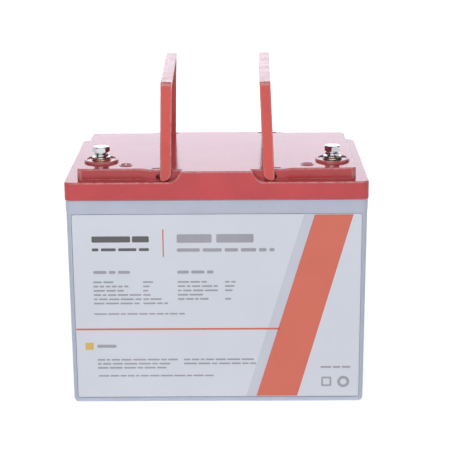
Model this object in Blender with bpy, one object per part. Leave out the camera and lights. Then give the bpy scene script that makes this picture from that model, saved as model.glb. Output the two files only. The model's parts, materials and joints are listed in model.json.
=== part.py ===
"""Group 24 deep cycle battery with lithium iron phosphate cells and two folding carry handles.

Metres, +Z up. The origin is the centre of the base. +X runs along the long side and
the front, with the label and the terminals, faces -Y.
"""
import math

import bmesh
import bpy
from mathutils import Matrix, Vector

# Fits and finish
GAP = 0.0003                    # running or seating gap between touching pieces
EPS = 0.0005                    # how far a cutter runs past a face
CORNER_STEPS = 5                # straight pieces in a rounded corner

# Lid: a band on the case, a raised plate on the band, and a block flush with the front
LID_LENGTH = 0.260
LID_WIDTH = 0.168
LID_BOTTOM = 0.1867
LEDGE_TOP = 0.2022
PLATE_TOP = 0.2115
LID_CORNER = 0.006
LID_EDGE = 0.0012
LID_ROOF = 0.0035               # thickness of the plate's roof
LID_WALL = 0.0032
TONGUE_DEPTH = 0.005            # how far the lid's locating tongue drops into the case
TONGUE_INSET = 0.0037
TONGUE_WALL = 0.002
TONGUE_ROOT = 0.004             # height over which the tongue joins the band's wall
TONGUE_CORNER = 0.003
PLATE_END_X = 0.1195
PLATE_CORNER = 0.004
PANEL_Y = 0.0726                # set-back side panels of the plate
POCKET_Y = 0.0766               # walls that carry the handle pivots
PANEL_INNER_X = 0.0635
POCKET_OUTER_X = 0.0570
BLOCK_FOOT_X = 0.0405           # where the block's curved side leaves the ledge
BLOCK_RADIUS = 0.008
BLOCK_HOLLOW_X = 0.0265
BLOCK_SLOPE = math.radians(56)
BLOCK_REAR_Y = 0.070            # where the block ends inside the plate

# Hinge of the handles
PIVOT_X = {"left": 0.0463, "right": 0.0479}
PIVOT_Z = 0.2052
PIN_RADIUS = 0.0025
SLOT_X = 0.0465
SLOT_RADIUS = 0.0027
SLOT_HALF_RUN = 0.00245         # from the slot's middle to the centre of its round end
SLIT_Y = (0.0698, 0.0728)       # slit behind the pivot wall, open at the top
SLIT_LENGTH = 0.0169
SLIT_FLOOR = 0.2002
SLIT_CORNER = 0.0006

# Handles: a bail of flat section, straddling the lid from front to rear
HANDLE_LEAN = {"left": math.radians(1.3), "right": math.radians(2.5)}
HANDLE_YAW = math.radians(0.8)  # the rear pin lies further out in its slot than the front pin
HANDLE_REACH = 0.0824           # pin axis to the top of the grip
HANDLE_OUTER = 0.0027           # pin axis to the outer side of the leg
HANDLE_INNER = 0.0067           # pin axis to the inner side of the leg
LEG_Y = (0.0770, 0.0818)
GRIP_THICKNESS = 0.0050
GRIP_FILLET = 0.008
GRIP_ROUND = 0.003
LEG_TIP = 0.0027                # pin axis to the lowest point of the leg
LEG_TIP_X = 0.0004              # pin axis to the lowest point, towards the outer side
FOOT_INNER_HEIGHT = 0.0078      # height of the foot's rounding on the inner side
FOOT_OUTER_HEIGHT = 0.0029
HANDLE_EDGE = 0.0010
PIN_HEAD = (0.0046, 0.0020, 0.0084)
PIN_HEAD_Y = 0.0703

# Case
CASE_TOP_SIZE = (0.2588, 0.1668)
CASE_BASE_SIZE = (0.2576, 0.1656)
CASE_TOP = 0.1864
CASE_WALL = 0.0028
CASE_FLOOR = 0.0030
CASE_CORNER = 0.006
RIM_BOTTOM = 0.1764             # lower edge of the thicker rim under the lid
RIM_STEP = 0.0003
BASE_ROUND = 0.0035
PANEL_BOTTOM = 0.0053
PANEL_TOP = 0.1742
PANEL_HALF_X = 0.1246
PANEL_HALF_Y = 0.0780
PANEL_DEPTH = 0.0008
PANEL_CORNER = 0.002
LABEL_THICKNESS = 0.0003
LABEL_MARGIN = 0.0004

# Terminals
TERMINAL_X = 0.101
TERMINAL_Y = -0.042
COLLAR_RADIUS = 0.015
COLLAR_BORE = 0.0125
COLLAR_TOP = 0.2134
COLLAR_EDGE = (0.0004, 0.0003)   # chamfers at the outer and inner rim
WELL_FLOOR = 0.2005
BOSS_BOTTOM = 0.1970
WELL_HOLE = 0.0063
SEAL_TOP = 0.2128
SEAL_DISH = 0.0002
INSERT_RADIUS = 0.0081
INSERT_TOP = 0.2137
INSERT_EDGE = 0.0003
INSERT_STEM = 0.0060
INSERT_STUD = 0.0040
INSERT_SHOULDER = BOSS_BOTTOM - GAP         # the inner lead's lug is clamped against it
STUD_BOTTOM = 0.1865
BOLT_HOLE = 0.0043
BOLT_HOLE_BOTTOM = 0.2000
SHANK_RADIUS = 0.0039
SHANK_BOTTOM = 0.2015
FLAT_WASHER = (0.0080, 0.0044, 0.0016)      # outer radius, hole radius, thickness
SPRING_WASHER = (0.0064, 0.0043, 0.0021)
SPRING_RISE = 0.0010            # how far the free end of the spring washer lifts
SPRING_SPLIT = math.radians(6)  # half the angle of the split
SPRING_START = math.radians(-118)
HEAD_ACROSS_FLATS = 0.0130
HEAD_HEIGHT = 0.0053
HEAD_STEP = 0.0006              # height of the washer face under the head
WASHER_FACE_SHARE = 0.95        # washer face and crown, as shares of the width across flats
CROWN_SHARE = 0.98
CROWN_DROP = 0.0018
CROWN_SPREAD = 1.4              # how much wider the crown's cone is at its foot
SHANK_TIP = 0.001
WASHER_EDGE = 0.0003
HEAD_TURN = {"positive": math.radians(4), "negative": math.radians(21)}
TERMINAL_NUT = (0.013, 0.0055)              # width across flats, height
MARK_X = 0.0783
MARK_Y = -0.0585
MARK_RADIUS = 0.0056
MARK_HEIGHT = 0.0005
MARK_STROKE = 0.0012

# Cell pack
CELL_COUNT = 4
CELL_SIZE = (0.050, 0.148, 0.118)
CELL_CORNER = 0.003
SEPARATOR = 0.0010
SHEET_MARGIN = 0.002
END_PLATE = 0.0020
PAD_THICKNESS = 0.0040
PAD_SIZE = (0.248, 0.156)
SIDE_FOAM = (0.140, 0.112)      # depth and height
SOFT_CORNER = 0.004
PACK_BOTTOM = CASE_FLOOR + PAD_THICKNESS + 2 * GAP
CELL_TOP = PACK_BOTTOM + CELL_SIZE[2]
CELL_PITCH = CELL_SIZE[0] + SEPARATOR + 2 * GAP
PACK_HALF_X = CELL_SIZE[0] * 2 + SEPARATOR * 1.5 + 3 * GAP
VENT = (0.006, 0.005, 0.0006)   # half run, radius, height
POST_Y = 0.045
POST_RADIUS = 0.008
POST_HEIGHT = 0.002
STUD_RADIUS = 0.003
STUD_HEIGHT = 0.0115
BUSBAR = (0.068, 0.018, 0.0020)
BUSBAR_CORNER = 0.004
BUSBAR_Z = CELL_TOP + POST_HEIGHT + GAP
NUT_ACROSS_FLATS = 0.010
NUT_HEIGHT = 0.0050
NUT_Z = BUSBAR_Z + BUSBAR[2] + GAP
STRAP = (0.012, 0.0008)         # height and thickness
STRAP_Z = (0.040, 0.095)
SIDE_FOAM_OUTER_X = 0.1254

# Electronics above the cells
BOARD_Z = CELL_TOP + 0.0127
BOARD_THICKNESS = 0.0015
BOARD_SIZE = (0.204, 0.146)
STRIP_LENGTH = 0.196
STRIP_Y = (0.062, 0.071)
SINK_SIZE = (0.130, 0.084, 0.0030)
SINK_Y = 0.020
FIN_COUNT = 6
FIN_SIZE = (0.0024, 0.074, 0.006)
FIN_PITCH = 0.005
PILLAR = (0.056, 0.033, 0.003, 0.0075)      # x and y from the module's middle, radius, height
PCB_THICKNESS = 0.0016
PCB_MARGIN = 0.002              # how far the board stays inside the heat sink's edge
CHIP_SIZE = (0.010, 0.009, 0.0045)
CHIP_PITCH = (0.014, 0.036)
CHIPS_IN_ROW = 6
PROCESSOR_SIZE = (0.016, 0.016, 0.002)
SOCKET_SIZE = (0.018, 0.006, 0.007)
SOCKET_WALL = 0.0012
SOCKET_Y = SINK_Y + SINK_SIZE[1] / 2 - 0.008
MODULE_PADS = (0.052, -0.004, 0.030)        # x of both power pads, y of input and output
LUG_PALM = 0.0075
LUG_NECK = (0.0095, 0.008)      # from the eye to the barrel, and the neck's width
LUG_CRIMP = 0.003               # solid part at the root of the barrel
LUG_THICKNESS = 0.0020
LUG_BARREL = (0.0050, 0.0038, 0.016)        # outer radius, bore radius, length
CABLE_RADIUS = 0.0035
HARNESS_RADIUS = 0.0015
CABLE_SEAT = 0.0035             # from the back of the lug's barrel to the cable's end


# ---------------------------------------------------------------- mesh and material helpers

def clear_scene():
    """Empty the scene without closing the file."""
    for old in list(bpy.data.objects):
        bpy.data.objects.remove(old, do_unlink=True)


def material(name, color, roughness, metallic=0.0):
    """A Principled material."""
    mat = bpy.data.materials.new(name)
    mat.use_nodes = True
    shader = mat.node_tree.nodes["Principled BSDF"]
    shader.inputs["Base Color"].default_value = (*color, 1.0)
    shader.inputs["Roughness"].default_value = roughness
    shader.inputs["Metallic"].default_value = metallic
    return mat


def add_object(name, bm, mat=None):
    """Turn a bmesh into a named object with outward faces."""
    bmesh.ops.recalc_face_normals(bm, faces=bm.faces)
    mesh = bpy.data.meshes.new(name)
    bm.to_mesh(mesh)
    bm.free()
    obj = bpy.data.objects.new(name, mesh)
    bpy.context.collection.objects.link(obj)
    if mat:
        mesh.materials.append(mat)
    return obj


def arc(cx, cy, radius, start, end, steps=CORNER_STEPS):
    """Points on an arc, with both ends, angles in degrees."""
    angles = [math.radians(start + (end - start) * i / steps) for i in range(steps + 1)]
    return [(cx + radius * math.cos(a), cy + radius * math.sin(a)) for a in angles]


def rounded_rectangle(length, width, radius, steps=CORNER_STEPS):
    """Outline of a rectangle with round corners, centred on the origin."""
    x, y = length / 2 - radius, width / 2 - radius
    corners = ((x, y, 0), (-x, y, 90), (-x, -y, 180), (x, -y, 270))
    return [p for cx, cy, a in corners for p in arc(cx, cy, radius, a, a + 90, steps)]


def circle(radius, count, turn=0.0):
    """Points on a circle about the origin."""
    angles = [turn + 2 * math.pi * i / count for i in range(count)]
    return [(radius * math.cos(a), radius * math.sin(a)) for a in angles]


def loft(sections, closed_ring=False):
    """A bmesh through equal-length loops of 3-D points, with flat ends or joined end to end."""
    bm = bmesh.new()
    loops = [[bm.verts.new(p) for p in section] for section in sections]
    pairs = list(zip(loops, loops[1:]))
    if closed_ring:
        pairs.append((loops[-1], loops[0]))
    count = len(loops[0])
    for low, high in pairs:
        for i in range(count):
            j = (i + 1) % count
            bm.faces.new((low[i], low[j], high[j], high[i]))
    if not closed_ring:
        bm.faces.new(list(reversed(loops[0])))
        bm.faces.new(loops[-1])
    return bm


def prism(outline, low, high, axis="Z"):
    """A bmesh of a flat outline extruded from low to high along an axis."""
    place = {
        "Z": lambda u, v, w: (u, v, w),
        "Y": lambda u, v, w: (u, w, v),
        "X": lambda u, v, w: (w, u, v),
    }[axis]
    return loft([[place(u, v, w) for u, v in outline] for w in (low, high)])


def block(size, centre, bevel=0.0, segments=2):
    """A bmesh box, with its vertical edges rounded if a bevel is given."""
    bm = bmesh.new()
    bmesh.ops.create_cube(bm, size=1.0)
    bmesh.ops.scale(bm, vec=size, verts=bm.verts)
    if bevel:
        upright = [e for e in bm.edges if abs(e.verts[0].co.z - e.verts[1].co.z) > size[2] / 2]
        bmesh.ops.bevel(bm, geom=upright, offset=bevel, segments=segments,
                        profile=0.5, affect="EDGES")
    bmesh.ops.translate(bm, vec=centre, verts=bm.verts)
    return bm


def turned(profile, centre=(0, 0), count=32, bore=False):
    """A bmesh turned about a vertical axis from (radius, z) points."""
    sections = [[(centre[0] + x, centre[1] + y, z) for x, y in circle(radius, count)]
                for radius, z in profile]
    return loft(sections, closed_ring=bore)


def ring_outline_pair(outer, inner, low, high):
    """A bmesh band between two outlines with equal point counts."""
    def level(outline, z):
        return [(u, v, z) for u, v in outline]
    return loft([level(outer, low), level(outer, high), level(inner, high), level(inner, low)],
                closed_ring=True)


def combine(target, bm, operation):
    """Apply a Boolean of a bmesh to an object at once."""
    tool = add_object("tool", bm)
    modifier = target.modifiers.new(operation, "BOOLEAN")
    modifier.operation = operation
    modifier.solver = "EXACT"
    modifier.object = tool
    graph = bpy.context.evaluated_depsgraph_get()
    result = bpy.data.meshes.new_from_object(target.evaluated_get(graph))
    target.modifiers.clear()
    old = target.data
    target.data = result
    result.name = target.name
    bpy.data.meshes.remove(old)
    bpy.data.objects.remove(tool, do_unlink=True)


def clean_flats(obj, limit=math.radians(0.5)):
    """Merge coplanar faces left by a Boolean."""
    bm = bmesh.new()
    bm.from_mesh(obj.data)
    bmesh.ops.remove_doubles(bm, verts=bm.verts, dist=1e-6)
    bmesh.ops.dissolve_limit(bm, angle_limit=limit, verts=bm.verts, edges=bm.edges)
    bm.to_mesh(obj.data)
    bm.free()


def round_edges(obj, width, chosen, segments=2, sharp=math.radians(35)):
    """Bevel the convex edges for which chosen(edge) holds."""
    bm = bmesh.new()
    bm.from_mesh(obj.data)
    edges = [e for e in bm.edges
             if e.is_convex and e.calc_face_angle(0.0) > sharp and chosen(e)]
    bmesh.ops.bevel(bm, geom=edges, offset=width, segments=segments, profile=0.5,
                    affect="EDGES", clamp_overlap=False)
    bm.to_mesh(obj.data)
    bm.free()


def shade(obj, mat, angle=math.radians(35)):
    """Set an object's only material and shade it smooth between its sharp edges."""
    obj.data.materials.clear()
    obj.data.materials.append(mat)
    for face in obj.data.polygons:
        face.material_index = 0
    obj.data.shade_smooth()
    obj.data.set_sharp_from_angle(angle=angle)


# ---------------------------------------------------------------- case and lid

def case_section(z, inset=0.0):
    """The case's rounded outline at a height, tapered from rim to base."""
    share = z / CASE_TOP
    length = CASE_BASE_SIZE[0] + (CASE_TOP_SIZE[0] - CASE_BASE_SIZE[0]) * share
    width = CASE_BASE_SIZE[1] + (CASE_TOP_SIZE[1] - CASE_BASE_SIZE[1]) * share
    radius = max(CASE_CORNER - inset, 0.002)
    outline = rounded_rectangle(length - 2 * inset, width - 2 * inset, radius)
    return [(x, y, z) for x, y in outline]


def case_face_offset(z):
    """Distance of the case's front face from its middle plane at a height."""
    share = z / CASE_TOP
    return (CASE_BASE_SIZE[1] + (CASE_TOP_SIZE[1] - CASE_BASE_SIZE[1]) * share) / 2 - RIM_STEP


def leaning_panel(half_length, low, high, inner_depth, outer_depth, face_at, axis="Y"):
    """A thin rounded panel that follows a leaning wall; depths are measured inwards from it."""
    middle = (low + high) / 2
    outline = rounded_rectangle(2 * half_length, high - low, PANEL_CORNER)
    sections = []
    for depth in (inner_depth, outer_depth):
        section = []
        for u, v in outline:
            offset = face_at(middle + v) - depth
            place = (u, -offset, middle + v) if axis == "Y" else (offset, u, middle + v)
            section.append(place)
        sections.append(section)
    return loft(sections)


def make_case(mat):
    """Open box with a thicker rim, a rounded base and shallow panels on all four walls."""
    rounding = [(0.0, BASE_ROUND), (BASE_ROUND * 0.29, BASE_ROUND * 0.29), (BASE_ROUND, 0.0)]
    outer = [case_section(z, inset + RIM_STEP) for z, inset in rounding]
    outer.append(case_section(RIM_BOTTOM, RIM_STEP))
    outer.append(case_section(RIM_BOTTOM + RIM_STEP))
    outer.append(case_section(CASE_TOP))
    inner = [case_section(CASE_TOP, CASE_WALL), case_section(CASE_FLOOR, CASE_WALL)]
    obj = add_object("case", loft(outer + inner))

    def end_offset(z):
        share = z / CASE_TOP
        return (CASE_BASE_SIZE[0] + (CASE_TOP_SIZE[0] - CASE_BASE_SIZE[0]) * share) / 2 - RIM_STEP

    for turn in (0, math.pi):
        for half, offset, axis in ((PANEL_HALF_X, case_face_offset, "Y"),
                                   (PANEL_HALF_Y, end_offset, "X")):
            bm = leaning_panel(half, PANEL_BOTTOM, PANEL_TOP, PANEL_DEPTH, -EPS, offset, axis)
            bmesh.ops.rotate(bm, matrix=Matrix.Rotation(turn, 3, "Z"), verts=bm.verts)
            combine(obj, bm, "DIFFERENCE")
    clean_flats(obj)
    shade(obj, mat)
    return obj


def make_label(mat):
    """Sheet glued into the front panel."""
    face = PANEL_DEPTH - GAP
    bm = leaning_panel(PANEL_HALF_X - LABEL_MARGIN, PANEL_BOTTOM + LABEL_MARGIN,
                       PANEL_TOP - LABEL_MARGIN, face, face - LABEL_THICKNESS, case_face_offset)
    return add_object("front_label", bm, mat)


def lid_profile():
    """Front outline of the lid: band, ledges and the curved sides of the centre block."""
    slope = math.degrees(BLOCK_SLOPE)
    side = arc(BLOCK_FOOT_X, LEDGE_TOP + BLOCK_RADIUS, BLOCK_RADIUS, 270, 270 - slope, 7)
    foot_x, foot_z = side[-1]
    side.append((foot_x - (PLATE_TOP - foot_z) / math.tan(BLOCK_SLOPE), PLATE_TOP))
    half = LID_LENGTH / 2
    right = [(half, LID_BOTTOM), (half, LEDGE_TOP)] + side
    left = [(-x, z) for x, z in reversed(right)]
    return right + left


def plate_outline():
    """Plan of the raised plate, with its set-back side panels and pivot walls."""
    corner = arc(PLATE_END_X - PLATE_CORNER, PANEL_Y - PLATE_CORNER, PLATE_CORNER, 0, 90)
    quarter = corner + [(PANEL_INNER_X, PANEL_Y), (POCKET_OUTER_X, POCKET_Y)]
    upper = quarter + [(-x, y) for x, y in reversed(quarter)]
    return upper + [(-x, -y) for x, y in upper]


def stadium(half_run, radius, steps=6):
    """Outline of a slot with round ends."""
    return arc(half_run, 0, radius, -90, 90, steps) + arc(-half_run, 0, radius, 90, 270, steps)


def polarity_mark(obj, x, positive):
    """A raised ring round a plus or a minus sign."""
    low, high = PLATE_TOP - EPS, PLATE_TOP + MARK_HEIGHT
    outer = [(x + u, MARK_Y + v) for u, v in circle(MARK_RADIUS, 20)]
    inner = [(x + u, MARK_Y + v) for u, v in circle(MARK_RADIUS - MARK_STROKE, 20)]
    combine(obj, ring_outline_pair(outer, inner, low, high), "UNION")
    reach = 2 * (MARK_RADIUS - 2 * MARK_STROKE)
    bars = [(reach, MARK_STROKE)]
    if positive:
        bars.append((MARK_STROKE, reach))
    for length, width in bars:
        bm = block((length, width, high - low), (x, MARK_Y, (low + high) / 2))
        combine(obj, bm, "UNION")


def make_lid(mat):
    """One moulding: band, raised plate, centre block, pivot walls, terminal wells and tongue."""
    half_width = LID_WIDTH / 2
    obj = add_object("lid", prism(lid_profile(), -half_width - EPS, half_width + EPS, "Y"))
    plan = rounded_rectangle(LID_LENGTH, LID_WIDTH, LID_CORNER)
    combine(obj, prism(plan, LID_BOTTOM - EPS, PLATE_TOP + EPS), "INTERSECT")
    rear = half_width - BLOCK_REAR_Y + EPS
    cut = block((2 * POCKET_OUTER_X, rear, PLATE_TOP - LEDGE_TOP + EPS),
                (0, BLOCK_REAR_Y + rear / 2, (PLATE_TOP + LEDGE_TOP + EPS) / 2))
    combine(obj, cut, "DIFFERENCE")
    combine(obj, prism(plate_outline(), LEDGE_TOP - 0.004, PLATE_TOP), "UNION")
    clean_flats(obj)
    round_edges(obj, LID_EDGE, lambda e: max(v.co.z for v in e.verts) > LEDGE_TOP - EPS)

    # Hollow underside, stepped at the tongue, with extra room under the plate and the block
    wall_x, wall_y = LID_LENGTH / 2 - LID_WALL, half_width - LID_WALL
    plate_x, plate_y = PLATE_END_X - LID_ROOF, SLIT_Y[0] - LID_ROOF
    root, low, high = LID_WALL - EPS, LID_BOTTOM - TONGUE_DEPTH, LID_BOTTOM + TONGUE_ROOT
    inside = TONGUE_INSET + TONGUE_WALL
    tongue = []
    for inset, z in ((TONGUE_INSET, low), (TONGUE_INSET, LID_BOTTOM + GAP),
                     (root, LID_BOTTOM + 2 * GAP), (root, high), (inside, high), (inside, low)):
        outline = rounded_rectangle(LID_LENGTH - 2 * inset, LID_WIDTH - 2 * inset, TONGUE_CORNER)
        tongue.append([(x, y, z) for x, y in outline])
    roof = PLATE_TOP - LID_ROOF
    ledge_roof = LEDGE_TOP - LID_ROOF
    hollows = (
        (wall_x, -wall_y, wall_y, LID_BOTTOM - EPS, ledge_roof),
        (plate_x, -plate_y, plate_y, ledge_roof - EPS, roof),
        (BLOCK_HOLLOW_X, LID_ROOF - half_width, plate_y, ledge_roof - EPS, roof),
    )
    for half, front, back, low, high in hollows:
        bm = block((2 * half, back - front, high - low),
                   (0, (front + back) / 2, (low + high) / 2), TONGUE_CORNER)
        combine(obj, bm, "DIFFERENCE")
    combine(obj, loft(tongue, closed_ring=True), "UNION")

    # Collars with wells for the terminals
    for side in (-1, 1):
        centre = (side * TERMINAL_X, TERMINAL_Y)
        outer_edge, inner_edge = COLLAR_EDGE
        collar = [(COLLAR_RADIUS, BOSS_BOTTOM), (COLLAR_RADIUS, COLLAR_TOP - outer_edge),
                  (COLLAR_RADIUS - outer_edge, COLLAR_TOP),
                  (COLLAR_BORE + inner_edge, COLLAR_TOP),
                  (COLLAR_BORE, COLLAR_TOP - inner_edge), (COLLAR_BORE, WELL_FLOOR),
                  (WELL_HOLE, WELL_FLOOR), (WELL_HOLE, BOSS_BOTTOM)]
        middle_radius = (COLLAR_RADIUS + COLLAR_BORE) / 2
        well = [(middle_radius, BOSS_BOTTOM - EPS), (middle_radius, COLLAR_TOP)]
        combine(obj, turned(well, centre), "DIFFERENCE")
        combine(obj, turned(collar, centre, bore=True), "UNION")
        polarity_mark(obj, side * MARK_X, positive=side < 0)

    # Pivot slots in the walls, each opening into a slit for the pin's head
    slot = stadium(SLOT_HALF_RUN, SLOT_RADIUS)
    for side in (-1, 1):
        outline = [(side * SLOT_X + u, PIVOT_Z + v) for u, v in slot]
        for face in (-1, 1):
            low, high = sorted((face * (SLIT_Y[0] + EPS), face * (POCKET_Y + EPS)))
            combine(obj, prism(outline, low, high, "Y"), "DIFFERENCE")
            top = PLATE_TOP + EPS
            size = (SLIT_LENGTH, SLIT_Y[1] - SLIT_Y[0], top - SLIT_FLOOR)
            middle = (side * SLOT_X, face * sum(SLIT_Y) / 2, (top + SLIT_FLOOR) / 2)
            combine(obj, block(size, middle, SLIT_CORNER, 1), "DIFFERENCE")
    clean_flats(obj)
    shade(obj, mat)
    return obj


# ---------------------------------------------------------------- handles

def make_handle(word, side, mat):
    """One bail with its two headed pivot pins, built about the pin axis and then leaned in."""
    top = HANDLE_REACH
    under = top - GRIP_THICKNESS
    inner_y, outer_y = LEG_Y
    foot = -2 * LEG_TIP
    right = [(outer_y, foot)]
    right += arc(outer_y - GRIP_ROUND, top - GRIP_ROUND, GRIP_ROUND, 0, 90, 4)
    left = [(-y, z) for y, z in reversed(right)]
    inside = [(-inner_y, foot)]
    inside += arc(-inner_y + GRIP_FILLET, under - GRIP_FILLET, GRIP_FILLET, 180, 90, 5)
    inside += [(-y, z) for y, z in reversed(inside)]
    side_view = right + left + inside
    reach = HANDLE_INNER + HANDLE_OUTER
    obj = add_object(f"handle_{word}", prism(side_view, -reach, reach, "X"))

    # Front view: straight sides, with a foot rounded more on the inner side
    steps = [math.radians(90 * i / 6) for i in range(7)]
    inner_foot = [(-LEG_TIP_X + (HANDLE_INNER + LEG_TIP_X) * math.cos(t),
                   FOOT_INNER_HEIGHT * (1 - math.sin(t)) - LEG_TIP) for t in steps]
    outer_foot = [(-LEG_TIP_X - (HANDLE_OUTER - LEG_TIP_X) * math.sin(t),
                   FOOT_OUTER_HEIGHT * (1 - math.cos(t)) - LEG_TIP) for t in steps[1:]]
    front_view = [(HANDLE_INNER, top + EPS)] + inner_foot + outer_foot
    front_view.append((-HANDLE_OUTER, top + EPS))
    outline = [(-side * x, z) for x, z in front_view]
    combine(obj, prism(outline, -outer_y - EPS, outer_y + EPS, "Y"), "INTERSECT")
    clean_flats(obj)
    round_edges(obj, HANDLE_EDGE, lambda e: True, segments=2, sharp=math.radians(50))

    # Pivot pins with oblong heads that lock behind the wall
    for face in (-1, 1):
        low, high = sorted((face * (PIN_HEAD_Y + EPS), face * (inner_y + 0.0015)))
        combine(obj, prism(circle(PIN_RADIUS, 16), low, high, "Y"), "UNION")
        centre = (0, face * (PIN_HEAD_Y + PIN_HEAD[1] / 2), 0)
        combine(obj, block(PIN_HEAD, centre), "UNION")
    clean_flats(obj)
    shade(obj, mat)
    obj.location = (side * PIVOT_X[word], 0, PIVOT_Z)
    obj.rotation_euler = (0, -side * HANDLE_LEAN[word], -side * HANDLE_YAW)
    return obj


# ---------------------------------------------------------------- terminals

def hex_prism(across_flats, low, high, turn, centre, chamfer=0.0):
    """Hexagon with a chamfered top, as on a bolt head or a nut."""
    radius = across_flats / math.sqrt(3)
    outline = circle(radius, 6, turn)
    sections = [[(centre[0] + x, centre[1] + y, z) for x, y in outline] for z in (low, high)]
    bm = loft(sections)
    if chamfer:
        rim = [e for e in bm.edges if min(v.co.z for v in e.verts) > high - 1e-6]
        bmesh.ops.bevel(bm, geom=rim, offset=chamfer, segments=1, profile=0.5, affect="EDGES")
    return bm


def make_bolt(name, centre, low, turn, mat):
    """M8 hexagon bolt with a washer face under its head."""
    face_radius = HEAD_ACROSS_FLATS / 2 * WASHER_FACE_SHARE
    profile = [(SHANK_RADIUS - SHANK_TIP, SHANK_BOTTOM), (SHANK_RADIUS, SHANK_BOTTOM + SHANK_TIP),
               (SHANK_RADIUS, low), (face_radius, low), (face_radius, low + HEAD_STEP + EPS)]
    obj = add_object(name, turned(profile, centre, 24))
    head = hex_prism(HEAD_ACROSS_FLATS, low + HEAD_STEP, low + HEAD_HEIGHT, turn, centre)
    combine(obj, head, "UNION")
    crown_radius = HEAD_ACROSS_FLATS / 2 * CROWN_SHARE
    foot_radius = crown_radius * CROWN_SPREAD
    top = low + HEAD_HEIGHT
    crown = turned([(foot_radius, low - EPS), (foot_radius, top - CROWN_DROP),
                    (crown_radius, top), (EPS, top + EPS)], centre, 36)
    shaft_radius = SHANK_RADIUS + EPS
    shaft = turned([(shaft_radius, SHANK_BOTTOM - EPS), (shaft_radius, low)], centre, 36)
    keep = add_object("keep", crown)
    combine(keep, shaft, "UNION")
    bm = bmesh.new()
    bm.from_mesh(keep.data)
    bpy.data.objects.remove(keep, do_unlink=True)
    combine(obj, bm, "INTERSECT")
    clean_flats(obj)
    shade(obj, mat)
    return obj


def make_washer(name, centre, low, mat):
    """Flat washer."""
    outer, hole, thick = FLAT_WASHER
    profile = [(outer, low), (outer, low + thick - WASHER_EDGE),
               (outer - WASHER_EDGE, low + thick), (hole, low + thick), (hole, low)]
    obj = add_object(name, turned(profile, centre, 32, bore=True))
    shade(obj, mat)
    return obj


def make_spring_washer(name, centre, low, mat):
    """Split washer: one turn of rectangular wire whose free end lifts."""
    outer, hole, thick = SPRING_WASHER
    steps = 28
    sections = []
    for i in range(steps + 1):
        angle = SPRING_START + SPRING_SPLIT + 2 * (math.pi - SPRING_SPLIT) * i / steps
        rise = low + SPRING_RISE * i / steps
        ray = Vector((math.cos(angle), math.sin(angle)))
        section = []
        for radius, z in ((hole, rise), (outer, rise), (outer, rise + thick), (hole, rise + thick)):
            section.append((centre[0] + ray.x * radius, centre[1] + ray.y * radius, z))
        sections.append(section)
    obj = add_object(name, loft(sections))
    shade(obj, mat)
    return obj


def make_insert(name, centre, mat):
    """Brass terminal: a threaded pad in the well, with a stud below for the inner lead."""
    profile = [(INSERT_STUD, STUD_BOTTOM), (INSERT_STUD, INSERT_SHOULDER),
               (INSERT_STEM, INSERT_SHOULDER), (INSERT_STEM, WELL_FLOOR + GAP),
               (INSERT_RADIUS, WELL_FLOOR + GAP), (INSERT_RADIUS, INSERT_TOP - INSERT_EDGE),
               (INSERT_RADIUS - INSERT_EDGE, INSERT_TOP), (BOLT_HOLE, INSERT_TOP),
               (BOLT_HOLE, BOLT_HOLE_BOTTOM)]
    obj = add_object(name, turned(profile, centre, 32))
    shade(obj, mat)
    return obj


def make_seal(name, centre, mat):
    """Potting compound that fills the well round the terminal."""
    outer, inner = COLLAR_BORE - GAP, INSERT_RADIUS + GAP
    low = WELL_FLOOR + GAP
    profile = [(outer, low), (outer, SEAL_TOP), (inner, SEAL_TOP - SEAL_DISH), (inner, low)]
    obj = add_object(name, turned(profile, centre, 32, bore=True))
    shade(obj, mat)
    return obj


def make_nut(name, centre, low, hole, across_flats, height, mat):
    """Hexagon nut with a clearance hole."""
    obj = add_object(name, hex_prism(across_flats, low, low + height, 0.0, centre))
    bore = turned([(hole, low - EPS), (hole, low + height + EPS)], centre, 12)
    combine(obj, bore, "DIFFERENCE")
    shade(obj, mat)
    return obj


def make_terminals(mats):
    """The fastener stack and the brass insert of each pole."""
    for pole, side in (("positive", -1), ("negative", 1)):
        centre = (side * TERMINAL_X, TERMINAL_Y)
        washer_z = INSERT_TOP + GAP
        spring_z = washer_z + FLAT_WASHER[2] + GAP
        head_z = spring_z + SPRING_WASHER[2] + SPRING_RISE + GAP
        make_insert(f"terminal_insert_{pole}", centre, mats["brass"])
        make_seal(f"terminal_seal_{pole}", centre, mats[f"seal_{pole}"])
        make_washer(f"flat_washer_{pole}", centre, washer_z, mats["steel"])
        make_spring_washer(f"spring_washer_{pole}", centre, spring_z, mats["steel"])
        make_bolt(f"terminal_bolt_{pole}", centre, head_z, HEAD_TURN[pole], mats["steel"])


# ---------------------------------------------------------------- cell pack

def cell_x(index):
    """Middle of a cell, counted from the left."""
    return (index - (CELL_COUNT - 1) / 2) * CELL_PITCH


def make_cell(index, mat):
    """Prismatic cell with a raised vent and two welded posts with studs."""
    x = cell_x(index)
    middle = (x, 0, PACK_BOTTOM + CELL_SIZE[2] / 2)
    obj = add_object(f"cell_{index + 1}", block(CELL_SIZE, middle, CELL_CORNER))
    for y in (-POST_Y, POST_Y):
        post = [(POST_RADIUS, CELL_TOP - EPS), (POST_RADIUS, CELL_TOP + POST_HEIGHT),
                (STUD_RADIUS, CELL_TOP + POST_HEIGHT), (STUD_RADIUS, CELL_TOP + STUD_HEIGHT)]
        combine(obj, turned(post, (x, y), 12), "UNION")
    vent = [(x + u, v) for u, v in stadium(*VENT[:2], 3)]
    combine(obj, prism(vent, CELL_TOP - EPS, CELL_TOP + VENT[2]), "UNION")
    shade(obj, mat)
    return obj


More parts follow.
